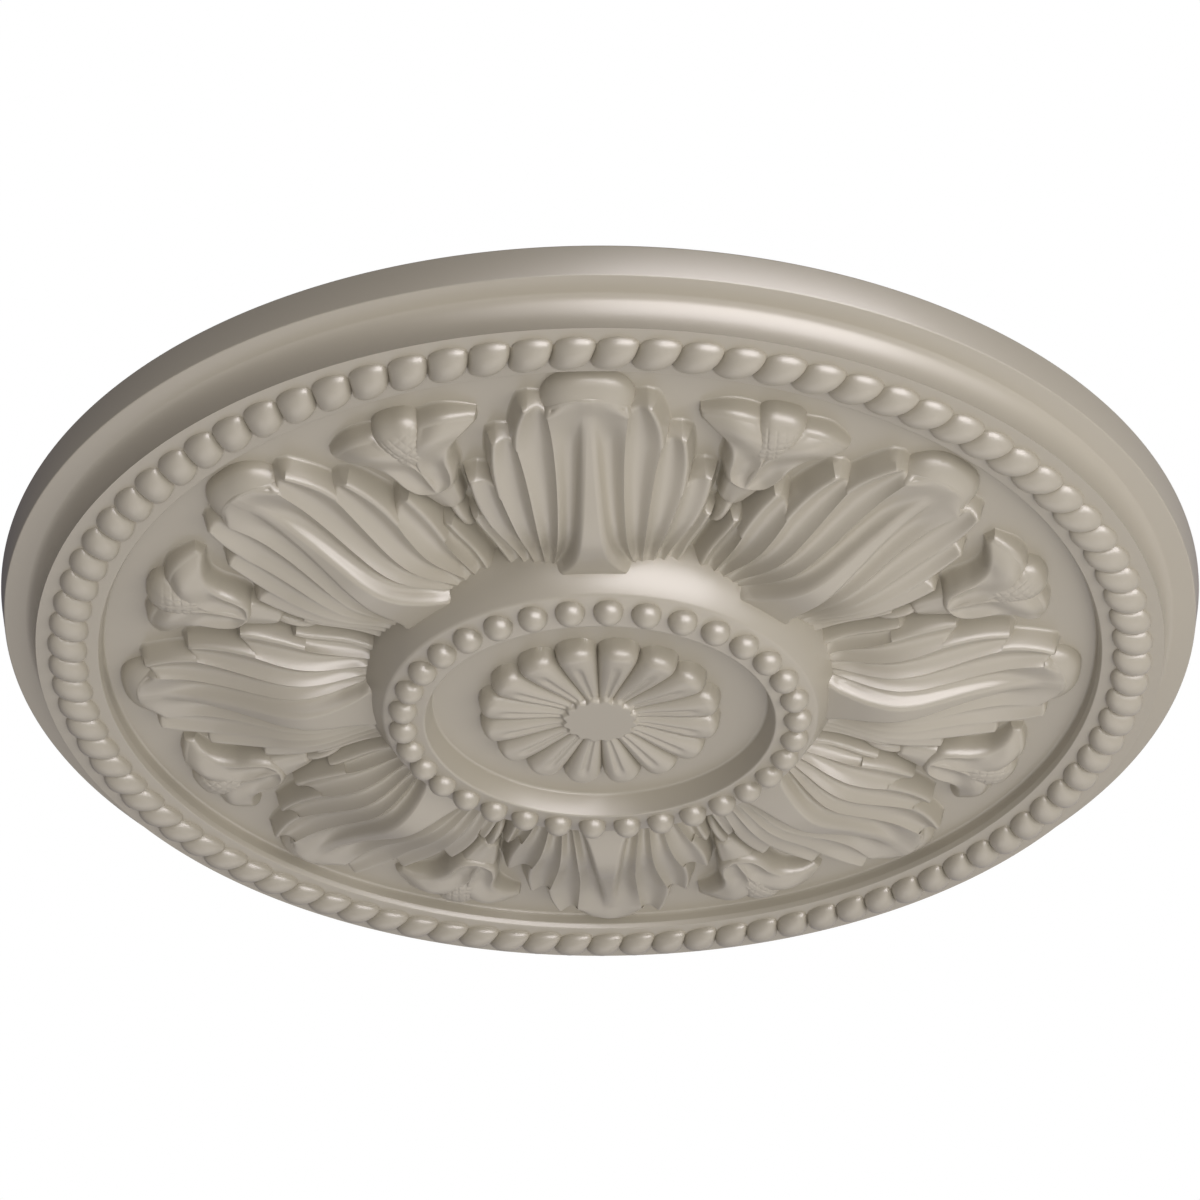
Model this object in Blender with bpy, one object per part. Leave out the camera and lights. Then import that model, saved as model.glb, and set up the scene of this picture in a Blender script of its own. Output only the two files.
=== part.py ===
"""Ceiling rose: a round moulded ceiling medallion with a rope border, eight acanthus leaves,
eight bell flowers and a raised drum that carries a ring of pearls and a sixteen-petal rosette.

Metres, +Z up. The flat back lies in the plane Z = 0 and faces +Z, against the ceiling.
The carved face looks down, so a depth below the ceiling is a distance along -Z.
Angles run from the -Y axis towards +X. Leaf 0 lies on -Y.
"""
import bpy
import bmesh
from math import cos, pi, radians, sin, tan
from mathutils import Matrix, Vector
from mathutils.geometry import delaunay_2d_cdt

# Overall size of the moulding
OUTER_DIAMETER = 0.460
STEPS_ROUND = 48
COVE_STEPS = 4
STEP_STEPS = 2

# Rim: a thin edge, a flat band and a cove that climbs to the rope's platform
EDGE_DEPTH = 0.0110
EDGE_TAPER = 0.0024
BAND_WIDTH = 0.0079
COVE_WIDTH = 0.0050
PLATFORM_DEPTH = 0.0224
PLATFORM_FALL = 0.0007
PLATFORM_WIDTH = 0.0232

# Step from the platform in to the field
STEP_WIDTH = 0.0021
FIELD_DEPTH = 0.0150

# Rope of slanted beads on the platform
ROPE_WIDTH = 0.0150
SECTIONS_PER_BEAD = 2
ROPE_ARC_STEPS = 4
ROPE_RISE = 0.0053
ROPE_PITCH = 0.0140
ROPE_SLANT = radians(20)
ROPE_VALLEY = 0.35
ROPE_WAIST = 0.86
ROPE_SINK = 0.0025

# Drum in the middle, its top ring and its dish
DRUM_DIAMETER = 0.1812
DRUM_WALL_DEPTH = 0.0258
DRUM_WALL_TAPER = 0.0004
DRUM_EDGE_DEPTH = 0.0368
DRUM_EDGE_INSET = 0.0073
RING_WIDTH = 0.0161
RING_RISE = 0.0028
PEARL_INSET = 0.0068
DISH_DEPTH = 0.0095
DISH_TAPER = 0.0025

# Pearls on the drum's ring
PEARL_DIAMETER = 0.0110
PEARL_PITCH = 0.0141
PEARL_LIFT = 0.0005
PEARL_SEGMENTS = 6
PEARL_RINGS = 5

# Rosette on the dish floor
ROSETTE_DIAMETER = 0.0932
ROSETTE_RISE = 0.0085
ROSETTE_HUB_RISE = 0.0058
ROSETTE_HUB_DIAMETER = 0.0260
ROSETTE_PETALS = 16

# Leaves and flowers on the field
LEAVES = 8
LEAF_END_GAP = 0.0042
LEAF_TUCK = 0.0039
SINK = 0.0030
DRAFT = 0.10
MERGE_DISTANCE = 0.0000001
TURN_MERGE = 0.00001
INSIDE_ONLY = 1

# Shading: edges sharper than this stay crisp
SMOOTH_ANGLE = radians(40)

# Paint
PAINT_COLOUR = (0.36, 0.325, 0.26, 1.0)
PAINT_ROUGHNESS = 0.38

OUTER_RADIUS = OUTER_DIAMETER / 2
CORNER_RADIUS = OUTER_RADIUS - EDGE_TAPER
COVE_RADIUS = CORNER_RADIUS - BAND_WIDTH
PLATFORM_RADIUS = COVE_RADIUS - COVE_WIDTH
PLATFORM_INNER = PLATFORM_RADIUS - PLATFORM_WIDTH
FIELD_RADIUS = PLATFORM_INNER - STEP_WIDTH
ROPE_RADIUS = (PLATFORM_RADIUS + PLATFORM_INNER) / 2
DRUM_RADIUS = DRUM_DIAMETER / 2
DRUM_NECK = DRUM_RADIUS - DRUM_WALL_TAPER
DRUM_EDGE = DRUM_NECK - DRUM_EDGE_INSET
DISH_EDGE = DRUM_EDGE - RING_WIDTH
DISH_RADIUS = DISH_EDGE - DISH_TAPER
RING_DEPTH = DRUM_EDGE_DEPTH + RING_RISE
FLOOR_DEPTH = RING_DEPTH - DISH_DEPTH
PEARL_RADIUS = DRUM_EDGE - PEARL_INSET
LEAF_START = DRUM_NECK - LEAF_TUCK
LEAF_LENGTH = FIELD_RADIUS - LEAF_END_GAP - LEAF_START


def arc(centre, radii, start, end, count):
    """Points of an elliptical arc in the plane of radius and depth."""
    points = []
    for step in range(count + 1):
        angle = start + (end - start) * step / count
        points.append((centre[0] + radii[0] * cos(angle), centre[1] + radii[1] * sin(angle)))
    return points


def body_profile():
    """Radius and depth of the turned body, from the middle of the back round to the dish floor."""
    cove = arc((PLATFORM_RADIUS + COVE_WIDTH, PLATFORM_DEPTH),
               (COVE_WIDTH, PLATFORM_DEPTH - EDGE_DEPTH), -pi / 2, -pi, COVE_STEPS)
    inner_depth = PLATFORM_DEPTH - PLATFORM_FALL
    step = arc((FIELD_RADIUS, inner_depth), (STEP_WIDTH, inner_depth - FIELD_DEPTH), 0, -pi / 2, STEP_STEPS)
    drum = [(DRUM_RADIUS, FIELD_DEPTH), (DRUM_NECK, DRUM_WALL_DEPTH), (DRUM_EDGE, DRUM_EDGE_DEPTH)]
    rim = [(0, 0), (OUTER_RADIUS, 0), (CORNER_RADIUS, EDGE_DEPTH)]
    dish = [(DISH_EDGE, RING_DEPTH), (DISH_RADIUS, FLOOR_DEPTH), (0, FLOOR_DEPTH)]
    return rim + cove + step + drum + dish


def local_frame(angle):
    """Matrix that carries (across, outward, depth) at the given angle into the part's frame."""
    across = Vector((cos(angle), sin(angle), 0))
    outward = Vector((sin(angle), -cos(angle), 0))
    down = Vector((0, 0, -1))
    return Matrix((across, outward, down)).transposed()


def new_collection(name):
    collection = bpy.data.collections.new(name)
    bpy.context.scene.collection.children.link(collection)
    return collection


def new_object(name, mesh_builder, collection):
    mesh = bpy.data.meshes.new(name)
    mesh_builder.to_mesh(mesh)
    mesh_builder.free()
    mesh.shade_smooth()
    mesh.set_sharp_from_angle(angle=SMOOTH_ANGLE)
    item = bpy.data.objects.new(name, mesh)
    collection.objects.link(item)
    return item


def turned_body(collection):
    """The plate, rim, platform, field and drum, turned from one profile."""
    build = bmesh.new()
    verts = [build.verts.new((radius, 0, -depth)) for radius, depth in body_profile()]
    edges = [build.edges.new(pair) for pair in zip(verts, verts[1:])]
    bmesh.ops.spin(build, geom=verts + edges, cent=(0, 0, 0), axis=(0, 0, 1), angle=2 * pi, steps=STEPS_ROUND)
    bmesh.ops.remove_doubles(build, verts=build.verts, dist=TURN_MERGE)
    bmesh.ops.recalc_face_normals(build, faces=build.faces)
    return new_object("ceiling_rose", build, collection)


def rope_ring(cutters):
    """One closed ring whose round section swells at each bead and narrows between beads."""
    beads = round(2 * pi * ROPE_RADIUS / ROPE_PITCH)
    sections = beads * SECTIONS_PER_BEAD
    base = PLATFORM_DEPTH - PLATFORM_FALL / 2
    build = bmesh.new()
    rings = []
    for section in range(sections):
        phase = 2 * pi * section / SECTIONS_PER_BEAD
        swell = ROPE_VALLEY + (1 - ROPE_VALLEY) * (0.5 - 0.5 * cos(phase))
        width = ROPE_WIDTH / 2 * (ROPE_WAIST + (1 - ROPE_WAIST) * swell)
        ring = []
        for step in range(ROPE_ARC_STEPS + 1):
            turn = pi * step / ROPE_ARC_STEPS
            ring.append((ROPE_RADIUS + width * cos(turn), base + ROPE_RISE * swell * sin(turn)))
        ring.append((ROPE_RADIUS - width, base - ROPE_SINK))
        ring.append((ROPE_RADIUS + width, base - ROPE_SINK))
        angle = 2 * pi * section / sections
        verts = []
        for radius, depth in ring:
            lean = tan(ROPE_SLANT) * (radius - ROPE_RADIUS) / ROPE_RADIUS
            place = local_frame(angle + lean) @ Vector((0, radius, depth))
            verts.append(build.verts.new(place))
        rings.append(verts)
    for section in range(sections):
        here = rings[section]
        there = rings[(section + 1) % sections]
        for point in range(len(here)):
            beyond = (point + 1) % len(here)
            build.faces.new((here[point], there[point], there[beyond], here[beyond]))
    bmesh.ops.recalc_face_normals(build, faces=build.faces)
    return new_object("rope_beads", build, cutters)


def pearl_ring(cutters):
    """Round pearls set side by side round the drum's ring."""
    pearls = round(2 * pi * PEARL_RADIUS / PEARL_PITCH)
    base = DRUM_EDGE_DEPTH + RING_RISE * PEARL_INSET / RING_WIDTH
    build = bmesh.new()
    for pearl in range(pearls):
        place = local_frame(2 * pi * (pearl + 0.5) / pearls) @ Vector((0, PEARL_RADIUS, base + PEARL_LIFT))
        bmesh.ops.create_uvsphere(build, u_segments=PEARL_SEGMENTS, v_segments=PEARL_RINGS,
                                  radius=PEARL_DIAMETER / 2, matrix=Matrix.Translation(place))
    return new_object("pearls", build, cutters)


def relief(build, outline, inner_lines, foot, frame):
    """A closed block under a triangulated relief.

    The outline is a ring of (across, outward, depth) points. The inner lines are ridges and
    hollows that lie inside it. The walls fall from the outline to the foot with a slight draft.
    """
    flat = []
    depths = []
    edges = []
    for point in outline:
        flat.append(Vector(point[:2]))
        depths.append(point[2])
    for line in inner_lines:
        first = len(flat)
        for point in line:
            flat.append(Vector(point[:2]))
            depths.append(point[2])
        edges += [(index, index + 1) for index in range(first, len(flat) - 1)]
    ring = list(range(len(outline)))
    places, _, faces, sources, _, _ = delaunay_2d_cdt(flat, edges, [ring], INSIDE_ONLY, MERGE_DISTANCE)
    top = []
    spot = {}
    for place, origins in zip(places, sources):
        vert = build.verts.new(frame @ Vector((place.x, place.y, depths[min(origins)])))
        for origin in origins:
            spot[origin] = vert
        top.append(vert)
    for face in faces:
        build.faces.new([top[index] for index in face])
    feet = []
    count = len(ring)
    for index in ring:
        before = flat[index - 1]
        after = flat[(index + 1) % count]
        along = (after - before).normalized()
        outward = Vector((along.y, -along.x))
        base = flat[index] + outward * DRAFT * (depths[index] - foot)
        feet.append(build.verts.new(frame @ Vector((base.x, base.y, foot))))
    for index in ring:
        beyond = (index + 1) % count
        build.faces.new((spot[index], feet[index], feet[beyond], spot[beyond]))
    build.faces.new(feet[::-1])


def bezier(start, middle, end, share):
    """Point of a quadratic curve, as a pair."""
    rest = 1 - share
    return tuple(rest * rest * a + 2 * rest * share * b + share * share * c
                 for a, b, c in zip(start, middle, end))


def between(table, value):
    """Straight-line reading of a short table of (place, height) pairs."""
    for (place_a, height_a), (place_b, height_b) in zip(table, table[1:]):
        if value <= place_b:
            share = max(0.0, (value - place_a) / (place_b - place_a))
            return height_a + (height_b - height_a) * share
    return table[-1][1]


# The carving is drawn with a leaf's length as 1. The rose's centre then lies CARVING_START inside the
# leaf's start line, and a leaf's share of the circle opens by CARVING_SECTOR on each side of its midrib.
CARVING_START = 0.8726
CARVING_SECTOR = tan(pi / 8)

# The leaf's carving, drawn as (across, along) outward from its start line, which is tucked under the
# drum's shoulder.
# Each ridge between two lobes runs as a curve from the drum to the notch where the outer lobe starts.
RIDGES = [
    ((0.150, 0.00), (0.090, 0.40), (0.133, 0.837)),
    ((0.178, 0.00), (0.182, 0.33), (0.251, 0.663)),
    ((0.215, -0.01), (0.245, 0.20), (0.319, 0.430)),
    ((0.250, -0.02), (0.275, 0.08), (0.353, 0.240)),
    ((0.285, -0.05), (0.350, 0.10), (0.414, 0.267)),
]
RIDGE_STOPS = [(0.15, 0.45, 0.80), (0.15, 0.45, 0.80), (0.30, 0.70), (0.30, 0.70)]
LOBE_TIPS = [(0.233, 0.872), (0.349, 0.691), (0.437, 0.481), (0.414, 0.267)]
LOBE_STOPS = (0.30, 0.75)
LEAF_FOOT = [(0.140, -0.09), (0.285, -0.05), (0.345, 0.09)]
CREST_HEIGHTS = [(0.0, 0.125), (0.10, 0.145), (0.25, 0.195), (0.43, 0.147), (0.56, 0.125),
                 (0.71, 0.085), (0.85, 0.098), (0.96, 0.118)]
HALF_WIDTHS = [(0.0, 0.30), (0.25, 0.41), (0.48, 0.437), (0.69, 0.35), (0.87, 0.24), (0.96, 0.20)]
EDGE_HEIGHT = 0.078
FLUTE_DROP = 0.028
CHANNEL_STOPS = (0.15, 0.45, 0.75)
CHANNEL_OUTER = 0.116
RIB_WIDTHS = [(-0.03, 0.125), (0.06, 0.100), (0.15, 0.077), (0.29, 0.051), (0.52, 0.033), (0.86, 0.008)]
RIB_STOPS = (-0.03, 0.08, 0.25, 0.52, 0.84)
RIB_RISE = 0.024
RIB_FOOT_DROP = 0.012
TIP_RADII = (0.118, 0.113)
TIP_CENTRE = 0.845
TIP_START = radians(12)
TIP_STEPS = 4
ROLL_RADII = (0.128, 0.115)
ROLL_CENTRE = 0.885
ROLL_DROP = 0.055
ROLL_STEPS = 5


def sector_point(across, along, height):
    """Place in metres of a drawn point; widths keep their share of the sector at that radius."""
    outward = LEAF_START + along * LEAF_LENGTH
    width_scale = outward / (CARVING_START + along) * tan(pi / LEAVES) / CARVING_SECTOR
    return (across * width_scale, outward, FIELD_DEPTH + height * LEAF_LENGTH)


def leaf_point(across, along, drop=0.0):
    """Place of the leaf's surface in metres; its crest falls away from the midrib to both edges."""
    crest = between(CREST_HEIGHTS, along)
    lean = min(1.0, abs(across) / between(HALF_WIDTHS, along))
    height = EDGE_HEIGHT + (crest - EDGE_HEIGHT) * (1 - lean * lean) - drop
    return sector_point(across, along, height)


def mirrored(line):
    return [(-across, along, depth) for across, along, depth in line]


def middle_of(first, second):
    return tuple((a + b) / 2 for a, b in zip(first, second))


def leaf_side_lines():
    """Ridges, flute bottoms, channel and rib foot of the right half of the leaf."""
    lines = []
    for (start, bend, notch), stops in zip(RIDGES, RIDGE_STOPS):
        lines.append([leaf_point(*bezier(start, bend, notch, stop)) for stop in stops])
    for inner, outer, tip in zip(RIDGES, RIDGES[1:], LOBE_TIPS):
        start = middle_of(inner[0], outer[0])
        bend = middle_of(inner[1], outer[1])
        end = middle_of(inner[2], tip)
        lines.append([leaf_point(*bezier(start, bend, end, stop), drop=FLUTE_DROP) for stop in LOBE_STOPS])
    lines.append([leaf_point((between(RIB_WIDTHS, stop) + CHANNEL_OUTER) / 2, stop, drop=FLUTE_DROP)
                  for stop in CHANNEL_STOPS])
    lines.append([leaf_point(between(RIB_WIDTHS, stop), stop, drop=RIB_FOOT_DROP) for stop in RIB_STOPS])
    return lines


def leaf_outline():
    """Ring round one leaf: up its right side, over the rolled tip and down its left side."""
    side = [leaf_point(*place) for place in LEAF_FOOT]
    for ridge, tip in zip(RIDGES[3::-1], LOBE_TIPS[::-1]):
        side.append(leaf_point(*tip))
        side.append(leaf_point(*ridge[2]))
    roll = [leaf_point(across, along, drop=ROLL_DROP)
            for across, along in arc((0, ROLL_CENTRE), ROLL_RADII, 0, pi, ROLL_STEPS)]
    return side + roll + mirrored(side[::-1])


def leaf(build, angle):
    """Midrib, two channels, four lobes on each side and the rolled tip."""
    lines = [[leaf_point(0, stop, drop=-RIB_RISE * (1 - stop)) for stop in RIB_STOPS[::2]]]
    lines.append([leaf_point(across, along)
                  for across, along in arc((0, TIP_CENTRE), TIP_RADII, TIP_START, pi - TIP_START, TIP_STEPS)])
    for line in leaf_side_lines():
        lines.append(line)
        lines.append(mirrored(line))
    relief(build, leaf_outline(), lines, FIELD_DEPTH - SINK, local_frame(angle))


# The flower's carving, drawn to the same scale as (across, along, height) from the same start line:
# the right side from the stem out to the bud's tip, and the ridges that stand inside it
FLOWER_SIDE = [
    (0.012, 0.260, 0.045), (0.030, 0.400, 0.050), (0.060, 0.420, 0.060), (0.085, 0.530, 0.065),
    (0.120, 0.620, 0.050), (0.190, 0.740, 0.045), (0.290, 0.835, 0.050), (0.225, 0.885, 0.045),
    (0.115, 0.880, 0.045), (0.080, 0.950, 0.040), (0.035, 0.985, 0.040),
]
FLOWER_MIDDLE = [
    [(0, 0.42, 0.085), (0, 0.52, 0.095)],
    [(0, 0.58, 0.075), (0, 0.70, 0.100), (0, 0.82, 0.105), (0, 0.93, 0.080)],
]
FLOWER_RIDGES = [
    [(0.075, 0.60, 0.075), (0.150, 0.72, 0.095), (0.235, 0.82, 0.085)],
    [(0.085, 0.66, 0.045), (0.125, 0.79, 0.055)],
    [(0.060, 0.72, 0.065), (0.070, 0.84, 0.070)],
]


def flower_points(table, hand=1):
    """Points of one line of the flower, in metres; hand -1 mirrors it to the left side."""
    return [sector_point(hand * across, along, height) for across, along, height in table]


def flower(build, angle):
    """Stem, cup, two flaring petals and the long bud between them."""
    outline = flower_points(FLOWER_SIDE) + flower_points(FLOWER_SIDE[::-1], -1)
    lines = [flower_points(line) for line in FLOWER_MIDDLE]
    for line in FLOWER_RIDGES:
        lines.append(flower_points(line))
        lines.append(flower_points(line, -1))
    relief(build, outline, lines, FIELD_DEPTH - SINK, local_frame(angle))


# A rosette petal's carving: across as a share of the half pitch at that place, along as a share of
# the rosette's radius, and height above the dish floor as a share of the rosette's rise
PETAL_SIDE = [(0.80, 0.22, 0.48), (1.04, 0.45, 0.45), (1.04, 0.82, 0.45), (0.50, 0.98, 0.45)]
PETAL_GROOVE = [(0, 0.42, 0.88), (0, 0.66, 0.74), (0, 0.80, 0.95)]
PETAL_RIM = [(0.50, 0.45, 1.0), (0.60, 0.78, 1.0), (0.28, 0.90, 0.93)]


def petal_points(table, hand=1):
    """Points of one line of the petal, in metres; hand -1 mirrors it to the left side."""
    reach = ROSETTE_DIAMETER / 2
    half_pitch = tan(pi / ROSETTE_PETALS)
    return [(hand * across * along * reach * half_pitch, along * reach, FLOOR_DEPTH + height * ROSETTE_RISE)
            for across, along, height in table]


def petal(build, angle):
    """One rosette petal: raised rims round a tapering groove, and a rounded drop at its outer end."""
    outline = petal_points(PETAL_SIDE) + petal_points(PETAL_SIDE[::-1], -1)
    lines = [petal_points(PETAL_GROOVE), petal_points(PETAL_RIM), petal_points(PETAL_RIM, -1)]
    relief(build, outline, lines, FLOOR_DEPTH - SINK, local_frame(angle))


def rosette_hub(cutters):
    build = bmesh.new()
    height = ROSETTE_HUB_RISE + SINK
    middle = -(FLOOR_DEPTH + ROSETTE_HUB_RISE - height / 2)
    bmesh.ops.create_cone(build, cap_ends=True, segments=ROSETTE_PETALS, radius1=ROSETTE_HUB_DIAMETER / 2,
                          radius2=ROSETTE_HUB_DIAMETER / 2, depth=height,
                          matrix=Matrix.Translation((0, 0, middle)))
    return new_object("rosette_hub", build, cutters)


def ornament_set(name, maker, angles, cutters):
    """Copies of one ornament that stand clear of each other, at the given angles."""
    build = bmesh.new()
    for angle in angles:
        maker(build, angle)
    bmesh.ops.recalc_face_normals(build, faces=build.faces)
    return new_object(name, build, cutters)


def spread(count, start, first, stride):
    return [start + 2 * pi * index / count for index in range(first, count, stride)]


def paint():
    material = bpy.data.materials.new("painted_foam")
    material.use_nodes = True
    shader = material.node_tree.nodes["Principled BSDF"]
    shader.inputs["Base Color"].default_value = PAINT_COLOUR
    shader.inputs["Roughness"].default_value = PAINT_ROUGHNESS
    shader.inputs["Metallic"].default_value = 0.0
    return material


def join_all(body, cutters):
    """One Boolean union of the turned body with every ornament."""
    for piece in cutters.objects:
        piece.hide_render = True
        piece.display_type = "WIRE"
    union = body.modifiers.new("ornament", "BOOLEAN")
    union.operation = "UNION"
    union.solver = "EXACT"
    union.operand_type = "COLLECTION"
    union.collection = cutters


def main():
    for item in list(bpy.data.objects):
        bpy.data.objects.remove(item, do_unlink=True)
    parts = new_collection("ceiling_rose")
    cutters = new_collection("cutters")
    body = turned_body(parts)
    half_leaf = pi / LEAVES
    half_petal = pi / ROSETTE_PETALS
    rope_ring(cutters)
    pearl_ring(cutters)
    rosette_hub(cutters)
    ornament_set("petals_even", petal, spread(ROSETTE_PETALS, half_petal, 0, 2), cutters)
    ornament_set("petals_odd", petal, spread(ROSETTE_PETALS, half_petal, 1, 2), cutters)
    ornament_set("leaves_even", leaf, spread(LEAVES, 0, 0, 2), cutters)
    ornament_set("leaves_odd", leaf, spread(LEAVES, 0, 1, 2), cutters)
    ornament_set("flowers", flower, spread(LEAVES, half_leaf, 0, 1), cutters)
    join_all(body, cutters)
    body.data.materials.append(paint())


main()
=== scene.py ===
"""Ceiling rose seen from below: one painted casting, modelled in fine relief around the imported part."""
from math import cos, hypot, pi, radians, sin, tan

import bmesh
import bpy
from mathutils import Matrix, Vector


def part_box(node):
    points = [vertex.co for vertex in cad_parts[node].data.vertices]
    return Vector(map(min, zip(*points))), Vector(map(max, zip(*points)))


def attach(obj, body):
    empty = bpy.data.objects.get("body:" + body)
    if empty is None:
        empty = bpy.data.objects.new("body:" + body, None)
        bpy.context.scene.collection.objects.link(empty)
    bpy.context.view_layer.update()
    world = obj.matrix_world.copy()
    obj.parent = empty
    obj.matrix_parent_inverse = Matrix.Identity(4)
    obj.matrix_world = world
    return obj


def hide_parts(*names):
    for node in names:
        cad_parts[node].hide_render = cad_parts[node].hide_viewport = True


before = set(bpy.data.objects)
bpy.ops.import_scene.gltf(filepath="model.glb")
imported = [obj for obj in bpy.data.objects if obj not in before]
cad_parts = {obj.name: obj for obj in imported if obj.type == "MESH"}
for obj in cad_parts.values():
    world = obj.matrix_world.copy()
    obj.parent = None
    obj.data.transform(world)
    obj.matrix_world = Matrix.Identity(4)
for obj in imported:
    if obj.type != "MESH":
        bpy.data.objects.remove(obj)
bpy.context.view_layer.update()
NODE = "ceiling_rose"
SLOT = "painted_foam"

# Driving sizes, from the frame: the outer radius, and the back plane at Z = 0
R = (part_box(NODE)[1][0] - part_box(NODE)[0][0]) / 2

# Turned body: radius and depth below the ceiling, as shares of the outer radius
RIM_CORNER = (0.9897, 0.0477)
BAND_INNER = 0.955
PLATFORM_OUTER = (0.9335, 0.0975)
PLATFORM_INNER = (0.8324, 0.0945)
FIELD = 0.065
FIELD_EDGE = 0.8233
DRUM_FOOT = 0.394
DRUM_NECK = (0.392, 0.112)
DRUM_EDGE = (0.3606, 0.160)
RING_INNER = (0.2904, 0.172)
FLOOR = 0.131
FLOOR_EDGE = 0.2797
PLATFORM_STEP = [(0.8306, 0.0905), (0.8282, 0.0850), (0.8275, 0.0730), (0.8262, 0.0670)]
RIM_ROUNDING = 0.0022
STEP_ROUNDING = 0.0016
DRUM_ROUNDING = 0.0042
COVE_STEPS = 14
TURN_STEPS = 480

# Rope and pearls: lengths are shares of the outer radius
BEADS = 91
BEAD_FIRST = radians(14.4)
ROPE_RADIUS = 0.882
ROPE_HALF = 0.0325
ROPE_RISE = 0.0235
ROPE_SLANT = radians(18)
ROPE_LAP = 0.005
ROPE_FOOT = 0.012
BEAD_GAP_HEIGHT = 0.10
BEAD_GAP_WIDTH = 0.45
BEAD_CROWN = 0.9
BEAD_SECTIONS = 18
ROPE_STEPS = 18
PEARLS = 34
PEARL_RING = 0.3275
PEARL_FIRST = radians(-1.6)
PEARL_SIZE = 0.0240
PEARL_LIFT = 0.001
PEARL_SEGMENTS = 28
PEARL_RINGS = 18

LEAVES = 8

# Edges that turn by more than this stay sharp
SHARP_BODY = radians(50)
SHARP_BEADS = radians(60)
SHARP_CARVING = radians(45)

# Rounding takes at most this share of a side; points nearer than NEAR count as one
CORNER_SHARE = 0.45
NEAR = 1e-6
NEAR_DIGITS = 6


def add_piece(name, builder, sharp_angle):
    """Turns a finished bmesh into a piece of the casting."""
    mesh = bpy.data.meshes.new(name)
    builder.to_mesh(mesh)
    builder.free()
    item = bpy.data.objects.new(name, mesh)
    bpy.context.scene.collection.objects.link(item)
    mesh.shade_smooth()
    mesh.set_sharp_from_angle(angle=sharp_angle)
    mesh.materials.append(PAINT)
    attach(item, "root")
    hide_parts(NODE)


def local_frame(angle):
    """Carries (across, outward, depth) at the given angle from -Y into the part's frame."""
    across = Vector((cos(angle), sin(angle), 0))
    outward = Vector((sin(angle), -cos(angle), 0))
    return Matrix((across, outward, Vector((0, 0, -1)))).transposed().to_4x4()


def ramp(value, start, end):
    """Smooth rise from 0 at the start of a span to 1 at its end."""
    share = min(1.0, max(0.0, (value - start) / (end - start)))
    return share * share * (3 - 2 * share)


def lerp(a, b, t):
    return a + (b - a) * t


def between(table, value):
    """Smooth reading of a short table of (place, value) pairs."""
    places = [row[0] for row in table]
    values = [row[1] for row in table]
    if value <= places[0]:
        return values[0]
    if value >= places[-1]:
        return values[-1]
    k = max(i for i in range(len(places)) if places[i] <= value)

    def slope(i):
        if i == 0 or i == len(places) - 1:
            return 0.0
        return (values[i + 1] - values[i - 1]) / (places[i + 1] - places[i - 1])
    span = places[k + 1] - places[k]
    t = (value - places[k]) / span
    a, b = values[k], values[k + 1]
    m, n = slope(k) * span, slope(k + 1) * span
    return ((2 * t ** 3 - 3 * t ** 2 + 1) * a + (t ** 3 - 2 * t ** 2 + t) * m
            + (-2 * t ** 3 + 3 * t ** 2) * b + (t ** 3 - t ** 2) * n)


def bezier(a, b, c, t):
    """Point at a share t of the quadratic curve from a to c that leans towards b."""
    s = 1 - t
    return tuple(s * s * p + 2 * s * t * q + t * t * r for p, q, r in zip(a, b, c))


def arc(centre, radii, start, end, count):
    """Points along part of an upright ellipse, from one angle to another."""
    turns = [start + (end - start) * i / count for i in range(count + 1)]
    return [(centre[0] + radii[0] * cos(turn), centre[1] + radii[1] * sin(turn)) for turn in turns]


def rounded(points, radius, count):
    """Rounds every inner corner of an open outline with a small quadratic curve."""
    out = [points[0]]
    for before, here, after in zip(points, points[1:], points[2:]):
        run_in = hypot(here[0] - before[0], here[1] - before[1])
        run_out = hypot(after[0] - here[0], after[1] - here[1])
        cut = min(radius, run_in * CORNER_SHARE, run_out * CORNER_SHARE)
        a = tuple(lerp(h, b, cut / run_in) for h, b in zip(here, before))
        c = tuple(lerp(h, b, cut / run_out) for h, b in zip(here, after))
        out += [bezier(a, here, c, i / count) for i in range(count + 1)]
    out.append(points[-1])
    return out


# Turned body
def body_profile():
    """Radius and depth from the middle of the back, round the rim and in to the dish floor."""
    cove_radii = (BAND_INNER - PLATFORM_OUTER[0], PLATFORM_OUTER[1] - RIM_CORNER[1])
    rim = rounded([(0, 0), (1.0, 0), RIM_CORNER, (BAND_INNER, RIM_CORNER[1])], RIM_ROUNDING, 4)
    cove = arc((BAND_INNER, PLATFORM_OUTER[1]), cove_radii, -pi / 2, -pi, COVE_STEPS)
    step = [PLATFORM_INNER] + PLATFORM_STEP + [(FIELD_EDGE, FIELD), (DRUM_FOOT, FIELD), DRUM_NECK]
    inner = rounded([cove[-1]] + step, STEP_ROUNDING, 3)
    drum = rounded([DRUM_NECK, DRUM_EDGE, RING_INNER, (FLOOR_EDGE, FLOOR), (0, FLOOR)], DRUM_ROUNDING, 4)
    return rim[:-1] + cove + inner[1:-1] + drum


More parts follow.
